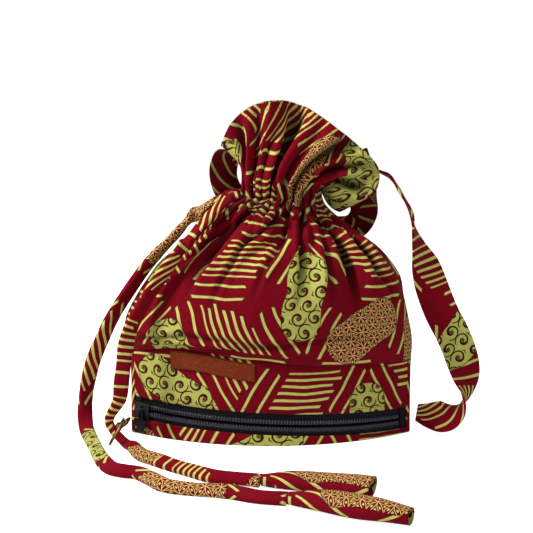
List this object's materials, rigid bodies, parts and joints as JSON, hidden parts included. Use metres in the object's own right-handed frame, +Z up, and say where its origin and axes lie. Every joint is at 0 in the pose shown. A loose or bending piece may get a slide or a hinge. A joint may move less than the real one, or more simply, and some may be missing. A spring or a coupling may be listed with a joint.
{
  "type": "tote bag",
  "caption": "Drawstring tote bag of printed cotton with gathered neck, flared mouth, zipped base compartment, shoulder strap, handle and two drawcord strands.",
  "frame": {"origin": "on the floor under the middle of the base panel", "axes": "+Z up, +X to the wearer's right seen from the front, +Y towards the back of the bag"},
  "size_m": [0.3468, 0.2926, 0.2829],
  "materials": {
    "printed_cotton": "matte",
    "lining_cotton": "matte",
    "black_nylon": "satin",
    "brown_leather": "satin",
    "antique_brass": "satin",
    "black_metal": "satin"
  },
  "bodies": {
    "bag": {"band_front": "printed_cotton", "base_strip_front": "printed_cotton", "band_back": "printed_cotton", "body_front": "printed_cotton", "body_back": "printed_cotton", "drawstring_rear": "printed_cotton", "drawstring_front": "printed_cotton", "cord_end_rear": "printed_cotton", "cord_end_front": "printed_cotton", "shoulder_strap": "printed_cotton", "ring_tab": "printed_cotton", "carry_handle": "printed_cotton", "base_panel": "lining_cotton", "inner_floor": "lining_cotton", "drawcord": "lining_cotton", "drawcord_casing": "lining_cotton", "zipper_tape_upper": "black_nylon", "zipper_tape_lower": "black_nylon", "zipper_coil_upper": "black_nylon", "zipper_coil_lower": "black_nylon", "label_patch": "brown_leather"},
    "slider": {"zipper_slider": "black_metal"},
    "pull": {"zipper_pull": "black_metal"},
    "ring": {"corner_ring": "antique_brass"}
  },
  "joints": [
    {"name": "slider_travel", "type": "hinge", "parent": "bag", "child": "slider", "pos_m": [0, 0.142, 0.0175], "axis": [0.0419, 0, 0.9991], "range_deg": [0, 67], "deforming": ["zipper_coil_upper", "zipper_coil_lower"]},
    {"name": "pull_swing", "type": "hinge", "parent": "slider", "child": "pull", "pos_m": [-0.1111, -0.0166, 0.02116], "axis": [-0.8182, 0.5739, 0.0343], "range_deg": [0, 120]},
    {"name": "ring_swing", "type": "hinge", "parent": "bag", "child": "ring", "pos_m": [-0.12802, -0.034, 0.01227], "axis": [0.4848, 0, 0.8746], "range_deg": [-15, 15]}
  ]
}
